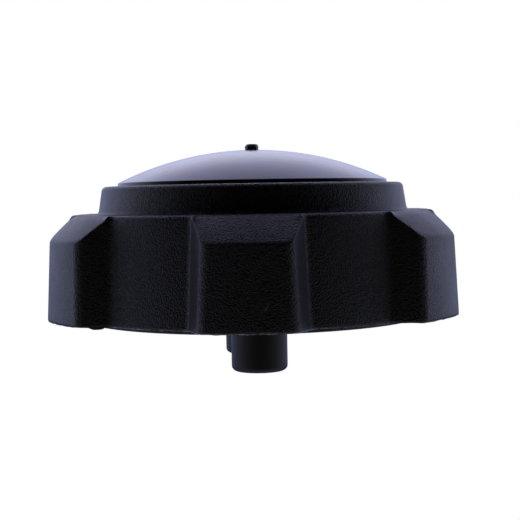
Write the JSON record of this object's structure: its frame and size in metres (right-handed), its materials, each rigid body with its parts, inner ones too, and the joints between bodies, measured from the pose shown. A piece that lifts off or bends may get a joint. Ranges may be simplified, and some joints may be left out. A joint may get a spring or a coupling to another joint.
{
  "type": "fuel tank cap",
  "caption": "Round screw-on fuel tank cap with a lugged, torque-limiting grip shell, a domed cover and pressure and vacuum relief valves below.",
  "frame": {"origin": "on the axis of the neck thread, in the plane of the threaded body's rim", "axes": "+Z along the thread's axis, away from the tank; -Y towards the pressure valve, which the picture shows in front"},
  "size_m": [0.0758, 0.0784, 0.0411],
  "materials": {
    "grained_shell": "black moulded plastic with a spark-eroded grain",
    "gloss_dome": "black moulded plastic, polished",
    "smooth_body": "black moulded plastic, smooth and satin",
    "natural_acetal": "natural acetal, smooth",
    "poppet_acetal": "natural acetal, fuel stained",
    "gasket_rubber": "black nitrile rubber, matt",
    "seal_rubber": "black fluoro rubber, satin",
    "filter_foam": "grey open-cell foam",
    "spring_steel": "drawn stainless spring wire"
  },
  "bodies": {
    "closure": {"threaded_body": "smooth_body", "neck_gasket": "gasket_rubber", "valve_plate": "smooth_body", "dust_filter": "filter_foam", "pressure_valve_body": "smooth_body", "pressure_valve_o_ring": "seal_rubber", "pressure_spring": "spring_steel", "pressure_spring_cap": "smooth_body", "vacuum_valve_body": "smooth_body", "vacuum_valve_o_ring": "seal_rubber", "vacuum_spring": "spring_steel", "vacuum_end_plug": "smooth_body"},
    "grip": {"grip_shell": "grained_shell", "dome_cover": "gloss_dome", "ratchet_ring": "natural_acetal"},
    "pressure_poppet": {"pressure_poppet": "poppet_acetal", "pressure_poppet_seal": "seal_rubber"},
    "vacuum_poppet": {"vacuum_poppet": "poppet_acetal", "vacuum_poppet_seal": "seal_rubber"}
  },
  "joints": [
    {"name": "grip_ratchet", "type": "hinge", "parent": "closure", "child": "grip", "pos_m": [0, 0, 0], "axis": [0, 0, 1], "continuous": true},
    {"name": "pressure_lift", "type": "slide", "parent": "closure", "child": "pressure_poppet", "axis": [0, 0, 1], "range_m": [0, 0.0012], "stiffness_N_per_m": 150, "springref_m": -0.001, "deforming": ["pressure_spring"]},
    {"name": "vacuum_drop", "type": "slide", "parent": "closure", "child": "vacuum_poppet", "axis": [0, 0, -1], "range_m": [0, 0.0012], "stiffness_N_per_m": 60, "springref_m": -0.001, "deforming": ["vacuum_spring"]}
  ]
}
